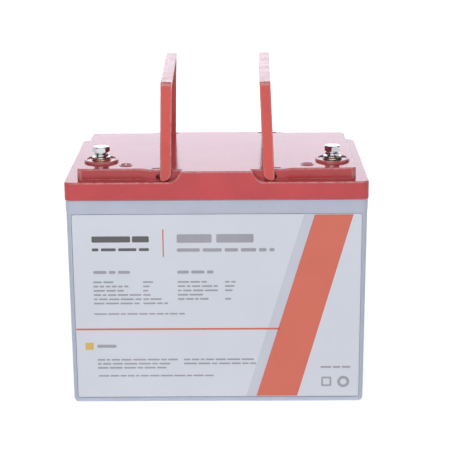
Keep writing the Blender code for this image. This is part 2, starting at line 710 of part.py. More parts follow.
def make_pack(mats):
    """Cells in series with separators, end plates, straps, pads, links and nuts."""
    middle_z = PACK_BOTTOM + CELL_SIZE[2] / 2
    for i in range(CELL_COUNT):
        make_cell(i, mats["cell"])
    sheet = (SEPARATOR, CELL_SIZE[1] - SHEET_MARGIN, CELL_SIZE[2] - SHEET_MARGIN)
    for i in range(CELL_COUNT - 1):
        x = cell_x(i) + CELL_PITCH / 2
        add_object(f"cell_separator_{i + 1}", block(sheet, (x, 0, middle_z)), mats["epoxy"])

    plate_x = PACK_HALF_X + GAP + END_PLATE / 2
    plate = (END_PLATE, CELL_SIZE[1], CELL_SIZE[2])
    foam_inner = PACK_HALF_X + END_PLATE + STRAP[1] + 3 * GAP
    foam = (SIDE_FOAM_OUTER_X - foam_inner, *SIDE_FOAM)
    for word, side in (("left", -1), ("right", 1)):
        add_object(f"end_plate_{word}", block(plate, (side * plate_x, 0, middle_z)),
                   mats["epoxy"])
        x = side * (SIDE_FOAM_OUTER_X + foam_inner) / 2
        add_object(f"side_foam_{word}", block(foam, (x, 0, middle_z), SOFT_CORNER), mats["foam"])

    pad = (*PAD_SIZE, PAD_THICKNESS)
    pad_z = CASE_FLOOR + GAP + PAD_THICKNESS / 2
    add_object("base_pad", block(pad, (0, 0, pad_z), SOFT_CORNER), mats["foam"])

    inner_x = PACK_HALF_X + END_PLATE + 2 * GAP
    inner_y = CELL_SIZE[1] / 2 + GAP
    inner = rounded_rectangle(2 * inner_x, 2 * inner_y, EPS, 2)
    outer = rounded_rectangle(2 * (inner_x + STRAP[1]), 2 * (inner_y + STRAP[1]),
                              EPS + STRAP[1], 2)
    for word, z in zip(("lower", "upper"), STRAP_Z):
        band = ring_outline_pair(outer, inner, z - STRAP[0] / 2, z + STRAP[0] / 2)
        add_object(f"pack_strap_{word}", band, mats["strap"])

    for i in range(CELL_COUNT - 1):
        make_busbar(i, mats["copper"])
    for i in range(CELL_COUNT):
        for word, y in (("front", -POST_Y), ("rear", POST_Y)):
            make_nut(f"cell_nut_{i + 1}_{word}", (cell_x(i), y), NUT_Z, STUD_RADIUS + GAP,
                     NUT_ACROSS_FLATS, NUT_HEIGHT, mats["steel"])


def make_busbar(index, mat):
    """Copper link between the posts of neighbouring cells, at the rear and the front in turn."""
    x = cell_x(index) + CELL_PITCH / 2
    y = POST_Y if index % 2 == 0 else -POST_Y
    shape = rounded_rectangle(BUSBAR[0], BUSBAR[1], BUSBAR_CORNER, 3)
    outline = [(x + u, y + v) for u, v in shape]
    obj = add_object(f"busbar_{index + 1}", prism(outline, BUSBAR_Z, BUSBAR_Z + BUSBAR[2]))
    for end in (-1, 1):
        centre = (x + end * CELL_PITCH / 2, y)
        hole = turned([(STUD_RADIUS + GAP, BUSBAR_Z - EPS),
                       (STUD_RADIUS + GAP, BUSBAR_Z + BUSBAR[2] + EPS)], centre, 12)
        combine(obj, hole, "DIFFERENCE")
    shade(obj, mat)
    return obj


# ---------------------------------------------------------------- electronics and leads

def make_electronics(mats):
    """Insulating board on foam strips, with the battery management module on top."""
    board_middle = BOARD_Z + BOARD_THICKNESS / 2
    size = (*BOARD_SIZE, BOARD_THICKNESS)
    add_object("insulating_board", block(size, (0, 0, board_middle), SOFT_CORNER), mats["epoxy"])
    strip_low, strip_high = CELL_TOP + GAP, BOARD_Z - GAP
    strip = (STRIP_LENGTH, STRIP_Y[1] - STRIP_Y[0], strip_high - strip_low)
    for word, face in (("front", -1), ("rear", 1)):
        middle = (0, face * sum(STRIP_Y) / 2, (strip_low + strip_high) / 2)
        add_object(f"foam_strip_{word}", block(strip, middle), mats["foam"])

    sink_low = BOARD_Z + BOARD_THICKNESS + GAP
    sink = add_object("bms_heatsink", block(
        SINK_SIZE, (0, SINK_Y, sink_low + SINK_SIZE[2] / 2), 0.003))
    sink_top = sink_low + SINK_SIZE[2]
    for i in range(FIN_COUNT):
        x = (i - (FIN_COUNT - 1) / 2) * FIN_PITCH
        fin = block(FIN_SIZE, (x, SINK_Y, sink_top + FIN_SIZE[2] / 2 - EPS))
        combine(sink, fin, "UNION")
    pillar_x, pillar_y, pillar_radius, pillar_height = PILLAR
    pcb_low = sink_top + pillar_height
    for x in (-pillar_x, pillar_x):
        for y in (-pillar_y, pillar_y):
            pillar = turned([(pillar_radius, sink_top - EPS), (pillar_radius, pcb_low - GAP)],
                            (x, SINK_Y + y), 12)
            combine(sink, pillar, "UNION")
    shade(sink, mats["aluminium"])

    board = add_object("bms_board", block(
        (SINK_SIZE[0] - 2 * PCB_MARGIN, SINK_SIZE[1] - 2 * PCB_MARGIN, PCB_THICKNESS),
        (0, SINK_Y, pcb_low + PCB_THICKNESS / 2), 0.002))
    top = pcb_low + PCB_THICKNESS
    for row in (-1, 1):
        for i in range(CHIPS_IN_ROW):
            x = (i - (CHIPS_IN_ROW - 1) / 2) * CHIP_PITCH[0]
            y = SINK_Y + row * CHIP_PITCH[1] / 2
            combine(board, block(CHIP_SIZE, (x, y, top + CHIP_SIZE[2] / 2 - EPS)), "UNION")
    processor = block(PROCESSOR_SIZE, (0, SINK_Y, top + PROCESSOR_SIZE[2] / 2 - EPS))
    combine(board, processor, "UNION")
    shade(board, mats["circuit"])

    length, width, height = SOCKET_SIZE
    socket = add_object("balance_socket", block(
        SOCKET_SIZE, (0, SOCKET_Y, top + GAP + height / 2)), mats["socket"])
    mouth = block((length - 2 * SOCKET_WALL, width - 2 * SOCKET_WALL, height),
                  (0, SOCKET_Y, top + GAP + height / 2 + 2 * SOCKET_WALL))
    combine(socket, mouth, "DIFFERENCE")
    return top


def make_tube(name, points, radius, mat):
    """Cable along a smooth route through a few points."""
    curve = bpy.data.curves.new(name, "CURVE")
    curve.dimensions = "3D"
    curve.bevel_depth = radius
    curve.bevel_resolution = 2
    curve.use_fill_caps = True
    spline = curve.splines.new("POLY")
    route = smooth_route(points)
    spline.points.add(len(route) - 1)
    for point, place in zip(spline.points, route):
        point.co = (*place, 1.0)
    curve.materials.append(mat)
    obj = bpy.data.objects.new(name, curve)
    bpy.context.collection.objects.link(obj)
    return obj


def smooth_route(points, steps=3):
    """Catmull-Rom points through a route."""
    knots = [Vector(p) for p in points]
    padded = [2 * knots[0] - knots[1]] + knots + [2 * knots[-1] - knots[-2]]
    route = []
    for a, b, c, d in zip(padded, padded[1:], padded[2:], padded[3:]):
        for i in range(steps):
            t = i / steps
            route.append(0.5 * (2 * b + (c - a) * t + (2 * a - 5 * b + 4 * c - d) * t ** 2
                                + (3 * b - a - 3 * c + d) * t ** 3))
    route.append(knots[-1])
    return route


def make_lug(name, centre, heading, low, hole, mat, hanging=False):
    """Crimped ring lug: a flat palm on the stud and a barrel that takes the cable.

    The barrel stands above the palm, or below it if the lug is hanging. Returns the place
    where the cable ends in the barrel and the barrel's direction.
    """
    outer, bore, length = LUG_BARREL
    start, neck_width = LUG_NECK
    rise = outer + GAP
    palm = add_object(name, prism(circle(LUG_PALM, 16), 0, LUG_THICKNESS))
    neck = block((start, neck_width, LUG_THICKNESS),
                 (start / 2 + LUG_CRIMP, 0, LUG_THICKNESS / 2))
    combine(palm, neck, "UNION")
    barrel = prism([(u, v + rise) for u, v in circle(outer, 14)], start, start + length, "X")
    combine(palm, barrel, "UNION")
    mouth = prism([(u, v + rise) for u, v in circle(bore, 14)],
                  start + LUG_CRIMP, start + length + EPS, "X")
    combine(palm, mouth, "DIFFERENCE")
    eye = turned([(hole, -EPS), (hole, LUG_THICKNESS + EPS)], (0, 0), 14)
    combine(palm, eye, "DIFFERENCE")
    clean_flats(palm)
    shade(palm, mat)
    base, turn, up = (low + LUG_THICKNESS, math.pi, -1) if hanging else (low, 0, 1)
    palm.location = (centre[0], centre[1], base)
    palm.rotation_euler = (turn, 0, heading)
    along = Vector((math.cos(heading), math.sin(heading), 0))
    inside = Vector((centre[0], centre[1], base + up * rise)) + along * (start + CABLE_SEAT)
    return inside, along


def make_leads(mats, pcb_top):
    """Three copper leads with their lugs and nuts, and the balance harness."""
    lug_z = INSERT_SHOULDER - GAP - LUG_THICKNESS
    stud_hole = INSERT_STUD + GAP
    pack_z = CELL_TOP + POST_HEIGHT + GAP
    for pole, side in (("positive", -1), ("negative", 1)):
        centre = (side * TERMINAL_X, TERMINAL_Y)
        make_nut(f"terminal_nut_{pole}", centre, lug_z - GAP - TERMINAL_NUT[1], stud_hole,
                 *TERMINAL_NUT, mats["steel"])

    def lead(name, first, second, middle, mat):
        """Cable from inside one lug's barrel to inside another's, straight at both mouths."""
        start, out = first
        end, back = second
        mouth = LUG_BARREL[2] - CABLE_SEAT
        straight = mouth + 0.005
        points = [start, start + out * mouth, start + out * straight] + middle
        points += [end + back * straight, end + back * mouth, end]
        make_tube(name, points, CABLE_RADIUS, mat)

    hole = STUD_RADIUS + GAP
    left_x, right_x = cell_x(0), cell_x(CELL_COUNT - 1)
    copper = mats["copper"]
    a = make_lug("lug_pack_positive", (left_x, -POST_Y), math.radians(180), pack_z, hole, copper)
    b = make_lug("lug_terminal_positive", (-TERMINAL_X, TERMINAL_Y), math.radians(90),
                 lug_z, stud_hole, copper, hanging=True)
    rise = [Vector((-0.1155, -0.038, 0.143)), Vector((-0.1175, -0.012, 0.160)),
            Vector((-0.1130, 0.010, 0.178)), Vector((-0.1040, 0.006, 0.1895))]
    lead("positive_lead", a, b, rise, mats["cable_red"])

    pad_x, input_y, output_y = MODULE_PADS
    pad_z = pcb_top + GAP
    c = make_lug("lug_pack_negative", (right_x, -POST_Y), math.radians(0), pack_z, hole, copper)
    d = make_lug("lug_bms_input", (pad_x, input_y), math.radians(0), pad_z, hole, copper)
    rise = [Vector((0.1155, -0.037, 0.1425)), Vector((0.1130, -0.014, 0.1560))]
    lead("pack_negative_lead", c, d, rise, mats["cable_black"])
    e = make_lug("lug_bms_output", (pad_x, output_y), math.radians(0), pad_z, hole, copper)
    f = make_lug("lug_terminal_negative", (TERMINAL_X, TERMINAL_Y), math.radians(90),
                 lug_z, stud_hole, copper, hanging=True)
    rise = [Vector((0.1020, 0.032, 0.160)), Vector((0.1120, 0.022, 0.172)),
            Vector((0.1075, 0.006, 0.187))]
    lead("negative_lead", e, f, rise, mats["cable_black"])

    make_tube("balance_harness", [Vector((0, SOCKET_Y, pcb_top + 0.0065)),
                                  Vector((0, SOCKET_Y + 0.001, pcb_top + 0.018)),
                                  Vector((0, 0.0665, pcb_top + 0.012)),
                                  Vector((0, 0.0765, 0.143)),
                                  Vector((0, 0.0773, 0.125))], HARNESS_RADIUS,
              mats["cable_black"])


def make_materials():
    """Colours and finishes of the parts."""
    return {
        "red": material("red_abs", (0.62, 0.045, 0.055), 0.22),
        "handle": material("red_handle", (0.70, 0.075, 0.065), 0.30),
        "case": material("grey_abs", (0.46, 0.49, 0.60), 0.38),
        "label": material("label_film", (0.80, 0.82, 0.88), 0.18),
        "steel": material("plated_steel", (0.72, 0.72, 0.73), 0.22, 1.0),
        "brass": material("brass", (0.78, 0.60, 0.34), 0.25, 1.0),
        "copper": material("tinned_copper", (0.80, 0.50, 0.38), 0.35, 1.0),
        "seal_positive": material("red_potting", (0.60, 0.05, 0.05), 0.15),
        "seal_negative": material("black_potting", (0.02, 0.02, 0.025), 0.15),
        "cell": material("cell_film", (0.05, 0.16, 0.50), 0.40),
        "epoxy": material("glass_epoxy", (0.62, 0.68, 0.42), 0.55),
        "strap": material("steel_strap", (0.60, 0.61, 0.62), 0.35, 1.0),
        "foam": material("black_foam", (0.03, 0.03, 0.03), 0.95),
        "aluminium": material("aluminium", (0.76, 0.77, 0.78), 0.40, 1.0),
        "circuit": material("circuit_board", (0.02, 0.16, 0.07), 0.45),
        "socket": material("white_nylon", (0.85, 0.85, 0.82), 0.50),
        "cable_red": material("red_silicone", (0.60, 0.02, 0.02), 0.60),
        "cable_black": material("black_silicone", (0.02, 0.02, 0.02), 0.60),
    }


def main():
    clear_scene()
    mats = make_materials()
    make_case(mats["case"])
    make_label(mats["label"])
    make_lid(mats["red"])
    make_handle("left", -1, mats["handle"])
    make_handle("right", 1, mats["handle"])
    make_terminals(mats)
    make_pack(mats)
    pcb_top = make_electronics(mats)
    make_leads(mats, pcb_top)


main()
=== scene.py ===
"""Looks of the deep cycle battery: finished surfaces, printed label, terminals, light and camera.

Lengths are metres. The battery stands on z = 0 with its label facing -Y.
"""
import json
import math

import bmesh
import bpy
from mathutils import Matrix, Vector


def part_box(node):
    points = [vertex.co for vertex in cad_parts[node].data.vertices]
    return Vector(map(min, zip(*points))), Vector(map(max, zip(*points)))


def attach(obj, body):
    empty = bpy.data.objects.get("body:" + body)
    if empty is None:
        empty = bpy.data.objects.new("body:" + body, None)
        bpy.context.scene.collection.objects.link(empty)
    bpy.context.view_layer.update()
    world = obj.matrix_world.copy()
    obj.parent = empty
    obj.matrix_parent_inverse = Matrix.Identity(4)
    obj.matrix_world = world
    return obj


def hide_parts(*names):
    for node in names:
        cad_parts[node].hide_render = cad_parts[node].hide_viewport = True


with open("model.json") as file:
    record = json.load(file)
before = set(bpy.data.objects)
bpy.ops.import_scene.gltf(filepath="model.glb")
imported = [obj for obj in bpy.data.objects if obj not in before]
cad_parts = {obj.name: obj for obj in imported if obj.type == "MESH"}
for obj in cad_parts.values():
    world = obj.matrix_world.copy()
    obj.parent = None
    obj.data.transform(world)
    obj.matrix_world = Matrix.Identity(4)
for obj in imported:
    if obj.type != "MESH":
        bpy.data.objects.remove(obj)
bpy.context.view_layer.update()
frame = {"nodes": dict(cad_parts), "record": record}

NODES = frame["nodes"]
SLOTS = {part["node"]: part["material_slot"] for part in frame["record"]["subparts"]}
POLES = ("positive", "negative")
BODY_OF = {"handle_left": "handle_left", "handle_right": "handle_right"}

# Camera
CAMERA_AT = Vector((0.0169, -1.2175, 0.4891))
CAMERA_YAW = math.radians(-0.452)
CAMERA_PITCH = math.radians(16.019)
CAMERA_ROLL = math.radians(-0.41)
CAMERA_SENSOR = 36.0
CAMERA_LENS = 109.8

# Studio
FLOOR_HALF = 6.0
FLOOR_ALBEDO = 0.80
FLOOR_GLOW = 0.65
FAR_GLOW = 0.35                     # added to the sheet's glow far from the battery
FAR_EDGE = (0.8, 1.7)
WORLD_LEVEL = 0.07
# name, place, turn about X in degrees, size, radiance, colour
LAMPS = (
    ("backdrop_lamp", (0.0, 1.8, 0.66), -90.0, (3.0, 0.80), 2.00, (0.97, 1.0, 1.12)),
    ("low_front_lamp", (-0.5, -2.0, 0.85), 75.0, (2.2, 0.90), 2.0, (1.0, 1.0, 1.0)),
    ("high_front_lamp", (0.0, -1.4, 1.6), 45.0, (1.2, 0.40), 3.0, (1.0, 1.0, 1.0)),
    ("overhead_lamp", (0.0, -0.45, 1.7), 0.0, (1.6, 0.40), 4.0, (1.0, 1.0, 1.0)),
)

# Label print
PRINT_LIFT = 0.00005                # each layer of ink stands this far off the film
BAND_TOP = (0.084, 0.117)           # x range of the slanted band at the label's top edge
BAND_BOTTOM = (0.034, 0.070)
STRIPE_WIDTH = 0.009
RULE_Z = (0.0688, 0.0704)
RULE_END_X = 0.068
RULE_CUT = 0.014                    # the rule stops this far short of its end place
HEADING_Z = (0.1490, 0.1545)
TITLE_Z = (0.1485, 0.1560)
COPY_TOP = 0.1130                   # first of the small rows
COPY_PITCH = 0.0039
COPY_HEIGHT = 0.0015
LEFT_X = -0.1075                    # left ends of the four columns of small rows
VALUE_X = -0.0645
RIGHT_X = -0.0343
RIGHT_VALUE_X = 0.0067
LEFT_ENDS = (-0.090, -0.077, -0.080, -0.066, -0.066, -0.065)
VALUE_ENDS = (-0.055, -0.057, -0.060, -0.058, -0.046, -0.043)
RIGHT_ENDS = (-0.009, 0.0005, 0.0005, -0.010, -0.005)
NOTE_Z = (0.0410, 0.0372, 0.0334)
NOTE_ENDS = (-0.0352, -0.042, -0.0435)
NOTE_RIGHT_ENDS = (0.0330, 0.0335)

# Shading
CLOUD_SCALE = 22.0                  # scales of the noises, per metre
TINT_SCALE = 45.0
GLOSS_SCALE = 70.0
HIGHLIGHT_PATCH_SCALE = 180.0
SCRATCH_SCALE = 900.0
MOTTLE_SCALE = 1400.0
DUST_SCALES = (160.0, 420.0)
DUST_COLOR = (0.80, 0.76, 0.74)
EDGE_HIGHLIGHT_LEVEL = 0.9                    # painted highlight: paler edges fade towards this level
RING_HEIGHT = 4e-6
WELD = 2e-6
FLAT_DOT = math.cos(math.radians(0.7))
STRIP_WIDTH = 0.0016                # flat patches narrower than this get the painted edge highlight

# Terminals
AXIS_RADIUS = 0.0006                # smallest ring round a bolt's axis
BOLT_GAP = 0.0003                   # between the spring washer and the head
HEAD_COLUMNS = 120
HEAD_STEP = 0.0006                  # height of the washer face under the bolt's head
HEAD_ROUND = 0.00015                # round of the head's lower edge
CROWN_SLOPE = math.radians(30)
CROWN_ROUND = 0.00012
CROWN_LIP = 0.00003
CROWN_FROM = 0.97                   # where the slopes start, as shares of half the flats
FOOT_FROM = 0.99
FOOT_EASE = 0.5                     # how much gentler the head's lower slope is
FACE_SHARES = (0.93, 0.95)          # washer face, at its edge and above it
FACE_EDGE = 0.0001
SHANK_SHARE = 0.6
SHANK_TIP = 0.0008
# share of half the flats and drop of each ring of the head's dished top
DISH = ((0.95, 0.0), (0.91, 0.0), (0.86, 0.00012), (0.40, 0.00016))
DISH_DEPTH = 0.00018
WIRE_STEPS = 96
WIRE_SHARE = 0.68                   # the wire's height in the spring washer's whole height
WIRE_EDGE = 0.0003
SPLIT_HALF = math.radians(7)
SPLIT_START = math.radians(-118)
WASHER_EDGE = 0.0004                # rolled side of the flat washer
WASHER_BURR = 0.0001                # stamped side
MENISCUS = 0.0004
RIPPLE = 0.00004                    # unevenness of the cast potting
POTTING_STEPS = 9


# ---------------------------------------------------------------- shader helpers

class Nodes:
    """Short forms for building a material's node tree."""

    def __init__(self, name):
        self.material = bpy.data.materials.new(name)
        self.material.use_nodes = True
        self.tree = self.material.node_tree
        self.shader = self.tree.nodes["Principled BSDF"]
        self.place = self.tree.nodes.new("ShaderNodeTexCoord").outputs["Object"]

    def new(self, kind, **settings):
        node = self.tree.nodes.new(kind)
        for key, value in settings.items():
            setattr(node, key, value)
        return node

    def link(self, source, target):
        """Join an output to an input, or set the input to a plain value."""
        if isinstance(source, bpy.types.NodeSocket):
            self.tree.links.new(source, target)
        else:
            target.default_value = source

    def stretched(self, scale):
        """The surface's place with a separate scale along each axis."""
        node = self.new("ShaderNodeMapping")
        self.link(self.place, node.inputs["Vector"])
        node.inputs["Scale"].default_value = scale
        return node.outputs["Vector"]

    def noise(self, scale, detail=3.0, rough=0.5, place=None):
        node = self.new("ShaderNodeTexNoise")
        self.link(place or self.place, node.inputs["Vector"])
        node.inputs["Scale"].default_value = scale
        node.inputs["Detail"].default_value = detail
        node.inputs["Roughness"].default_value = rough
        return node.outputs["Fac"]

    def ramp(self, value, low, high, to_low=0.0, to_high=1.0):
        """Map a value from low..high to to_low..to_high, smoothly and clamped."""
        node = self.new("ShaderNodeMapRange", interpolation_type="SMOOTHSTEP")
        self.link(value, node.inputs["Value"])
        for key, number in (("From Min", low), ("From Max", high),
                            ("To Min", to_low), ("To Max", to_high)):
            node.inputs[key].default_value = number
        return node.outputs["Result"]

    def math(self, operation, first, second=0.0):
        node = self.new("ShaderNodeMath", operation=operation)
        self.link(first, node.inputs[0])
        self.link(second, node.inputs[1])
        return node.outputs["Value"]

    def mix(self, share, first, second):
        """Blend two colours, each a tuple or an output."""
        node = self.new("ShaderNodeMix", data_type="RGBA")
        self.link(share, node.inputs["Factor"])
        for value, target in ((first, node.inputs["A"]), (second, node.inputs["B"])):
            self.link((*value, 1.0) if isinstance(value, tuple) else value, target)
        return node.outputs["Result"]

    def specks(self, scale, size, seed):
        """Sparse round specks: 1 inside a speck, 0 elsewhere."""
        node = self.new("ShaderNodeTexVoronoi", voronoi_dimensions="4D")
        self.link(self.place, node.inputs["Vector"])
        node.inputs["W"].default_value = seed
        node.inputs["Scale"].default_value = scale
        wide = self.ramp(self.noise(scale * 0.37), 0.42, 0.70, 0.2, 1.0)
        reach = self.math("MULTIPLY", wide, size)
        return self.math("LESS_THAN", node.outputs["Distance"], reach)

    def rounded(self, radius):
        """Normals rounded over the edges, and a mask of the edges for a painted highlight."""
        bevel = self.new("ShaderNodeBevel", samples=4)
        bevel.inputs["Radius"].default_value = radius
        shaded = self.new("ShaderNodeNewGeometry").outputs["Normal"]
        turn = self.new("ShaderNodeVectorMath", operation="DOT_PRODUCT")
        self.link(bevel.outputs["Normal"], turn.inputs[0])
        self.link(shaded, turn.inputs[1])
        strip = self.new("ShaderNodeAttribute", attribute_name="highlight_strip").outputs["Fac"]
        # mask of the edges that get the painted highlight
        highlight_mask = self.ramp(turn.outputs["Value"], 0.98, 0.90)
        return bevel.outputs["Normal"], self.math("MAXIMUM", highlight_mask, strip)

    def bump(self, height, distance, normal=None):
        node = self.new("ShaderNodeBump")
        node.inputs["Strength"].default_value = 1.0
        node.inputs["Distance"].default_value = distance
        self.link(height, node.inputs["Height"])
        if normal:
            self.link(normal, node.inputs["Normal"])
        return node.outputs["Normal"]


def finish(name, color, rough, metallic=0.0, *, cloud=0.06, mottle=0.03, peel=(350, 2e-6),
           grain=(2500, 1.5e-6), gloss=0.25, edge_highlight=0.12, edge=0.0004, dust=0.0, scratch=0.0,
           scratch_way=(1, 1, 1), rings=None, coat=0.0, ior=1.5, specular=0.5, tint=None):
    """One procedural surface with colour variation, uneven gloss, relief and a painted highlight
    on its edges.

    peel and grain are (scale, height) of the coarse and the fine relief.
    """
    n = Nodes(name)
    # edges are mixed towards this paler colour as a painted highlight
    highlight_color = tuple(min(1.0, c + edge_highlight * (EDGE_HIGHLIGHT_LEVEL - c)) for c in color)
    darker = tuple(c * (1 - cloud) for c in color)
    lighter = tuple(min(1.0, c * (1 + cloud)) for c in color)
    base = n.mix(n.ramp(n.noise(CLOUD_SCALE, 4.0, 0.6), 0.35, 0.65), darker, lighter)
    fine = tuple(c * (1 - 2 * mottle) for c in color)
    base = n.mix(n.ramp(n.noise(MOTTLE_SCALE, 2.0), 0.50, 0.75, 0.0, 0.5), base, fine)
    if tint:
        base = n.mix(n.ramp(n.noise(TINT_SCALE, 3.0), 0.52, 0.72, 0.0, 0.6), base, tint)
    normal, highlight_mask = n.rounded(edge)
    patchy = n.ramp(n.noise(HIGHLIGHT_PATCH_SCALE, 3.0, 0.7), 0.35, 0.65, 0.35, 1.0)
    # paler edges: painted highlight along the bevels
    base = n.mix(n.math("MULTIPLY", highlight_mask, patchy), base, highlight_color)
    uneven = n.ramp(n.noise(GLOSS_SCALE, 5.0, 0.65), 0.30, 0.70, 1 - gloss, 1 + gloss)
    roughness = n.math("MULTIPLY", uneven, rough)
    if scratch:
        place = n.stretched(tuple(SCRATCH_SCALE * share for share in scratch_way))
        lines = n.noise(1.0, 2.0, 0.4, place)
        line_mask = n.ramp(lines, 0.62, 0.72)
        roughness = n.math("ADD", roughness, n.math("MULTIPLY", line_mask, scratch))
    if dust:
        spots = n.math("ADD", n.specks(DUST_SCALES[0], dust, 3.1),
                       n.specks(DUST_SCALES[1], dust, 8.7))
        spots = n.math("MINIMUM", spots, 1.0)
        base = n.mix(n.math("MULTIPLY", spots, 0.55), base, DUST_COLOR)
        roughness = n.math("ADD", roughness, n.math("MULTIPLY", spots, 0.3))
    normal = n.bump(n.noise(peel[0], 2.0), peel[1] * 10, normal)
    normal = n.bump(n.noise(grain[0], 2.0, 0.6), grain[1] * 10, normal)
    if rings:
        normal = n.bump(turned_rings(n, *rings), RING_HEIGHT, normal)
    n.link(base, n.shader.inputs["Base Color"])
    n.link(roughness, n.shader.inputs["Roughness"])
    n.link(normal, n.shader.inputs["Normal"])
    n.shader.inputs["Metallic"].default_value = metallic
    n.shader.inputs["IOR"].default_value = ior
    n.shader.inputs["Specular IOR Level"].default_value = specular
    n.shader.inputs["Coat Weight"].default_value = coat
    return n.material


def turned_rings(n, centre, pitch):
    """Fine rings of a turned face about the two terminals' axes."""
    split = n.new("ShaderNodeSeparateXYZ")
    n.link(n.place, split.inputs["Vector"])
    across = n.math("SUBTRACT", n.math("ABSOLUTE", split.outputs["X"]), centre[0])
    along = n.math("SUBTRACT", split.outputs["Y"], centre[1])
    radius = n.math("SQRT", n.math("ADD", n.math("MULTIPLY", across, across),
                                   n.math("MULTIPLY", along, along)))
    return n.math("SINE", n.math("MULTIPLY", radius, 2 * math.pi / pitch))


# ---------------------------------------------------------------- mesh helpers

def flat_patches(bm):
    """Area of the flat patch each face belongs to, and the faces of narrow long patches."""
    areas, strips = {}, set()
    for seed in bm.faces:
        if seed.index in areas:
            continue
        patch, queue = {seed.index: seed}, [seed]
        while queue:
            face = queue.pop()
            for edge in face.edges:
                for other in edge.link_faces:
                    if other.index not in patch and other.normal.dot(seed.normal) > FLAT_DOT:
                        patch[other.index] = other
                        queue.append(other)
        total = sum(face.calc_area() for face in patch.values())
        areas.update((index, total) for index in patch)
        run = max(edge.calc_length() for face in patch.values() for edge in face.edges)
        if total < STRIP_WIDTH * run:
            strips.update(patch)
    return areas, strips


def eased_normals(bm, areas, angle):
    """Corner normals that keep flat patches flat and round everything between them."""
    limit = math.cos(math.radians(angle))
    normals = []
    for face in bm.faces:
        for vert in face.verts:
            total = Vector()
            for other in vert.link_faces:
                if other.normal.dot(face.normal) > limit:
                    total += other.normal * areas[other.index]
            normals.append(total.normalized())
    return normals


def add_piece(name, bm, mat, node_names=(), body="battery", slot=None, angle=50.0):
    """Make an object of the battery from a bmesh, riding on a body and replacing CAD nodes."""
    bmesh.ops.recalc_face_normals(bm, faces=bm.faces)
    bm.normal_update()
    bm.faces.index_update()
    areas, strips = flat_patches(bm)
    normals = eased_normals(bm, areas, angle)
    mesh = bpy.data.meshes.new(name)
    bm.to_mesh(mesh)
    bm.free()
    # narrow strips get the painted edge highlight
    marks = mesh.attributes.new("highlight_strip", "FLOAT", "FACE").data
    for index in strips:
        marks[index].value = 1.0
    mesh.materials.append(mat)
    mesh.shade_smooth()
    mesh.normals_split_custom_set(normals)
    piece = bpy.data.objects.new(name, mesh)
    bpy.context.scene.collection.objects.link(piece)
    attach(piece, body)
    if node_names:
        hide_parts(*node_names)
    return piece


def refined(node, mat, angle=50.0):
    """A smooth-shaded stand-in for a CAD node, welded and with its flat faces kept flat."""
    bm = bmesh.new()
    bm.from_mesh(NODES[node].data)
    bmesh.ops.remove_doubles(bm, verts=bm.verts, dist=WELD)
    add_piece(f"{node}_shell", bm, mat, (node,), BODY_OF.get(node, "battery"), SLOTS[node],
              angle)


def rings_between(bm, rings, closed=False):
    """Faces between successive rings of vertices."""
    pairs = list(zip(rings, rings[1:]))
    if closed:
        pairs.append((rings[-1], rings[0]))
    count = len(rings[0])
    for low, high in pairs:
        for i in range(count):
            j = (i + 1) % count
            bm.faces.new((low[i], low[j], high[j], high[i]))


def lathe(profile, centre, count=WIRE_STEPS, closed=True, start=0.0):
    """A bmesh turned about a vertical axis; a radius may be a function of the angle."""
    bm = bmesh.new()
    rings = []
    for radius, z in profile:
        ring = []
        for i in range(count):
            angle = start + 2 * math.pi * i / count
            r = radius(angle) if callable(radius) else radius
            h = z(angle) if callable(z) else z
            ring.append(bm.verts.new((centre.x + r * math.cos(angle),
                                      centre.y + r * math.sin(angle), h)))
        rings.append(ring)
    rings_between(bm, rings, closed)
    if not closed:
        bm.faces.new(list(reversed(rings[0])))
        bm.faces.new(rings[-1])
    return bm


def rounded_corner(corner_u, corner_v, radius, start, steps=4):
    """Points of a quarter round whose centre is the corner given, angles in degrees."""
    angles = [math.radians(start + 90 * i / steps) for i in range(steps + 1)]
    return [(corner_u + radius * math.cos(a), corner_v + radius * math.sin(a)) for a in angles]


# ---------------------------------------------------------------- terminals

def middle_of(node):
    """Centre of a node in plan, and its lowest and highest z."""
    low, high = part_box(node)
    return (low + high) / 2, low.z, high.z


def bolt_turn(node, centre):
    """Angle of one corner of the bolt's head about its axis."""
    corners = [v.co - centre for v in NODES[node].data.vertices]
    far = max(corners, key=lambda v: round(v.x * v.x + v.y * v.y, 9))
    return math.atan2(far.y, far.x)


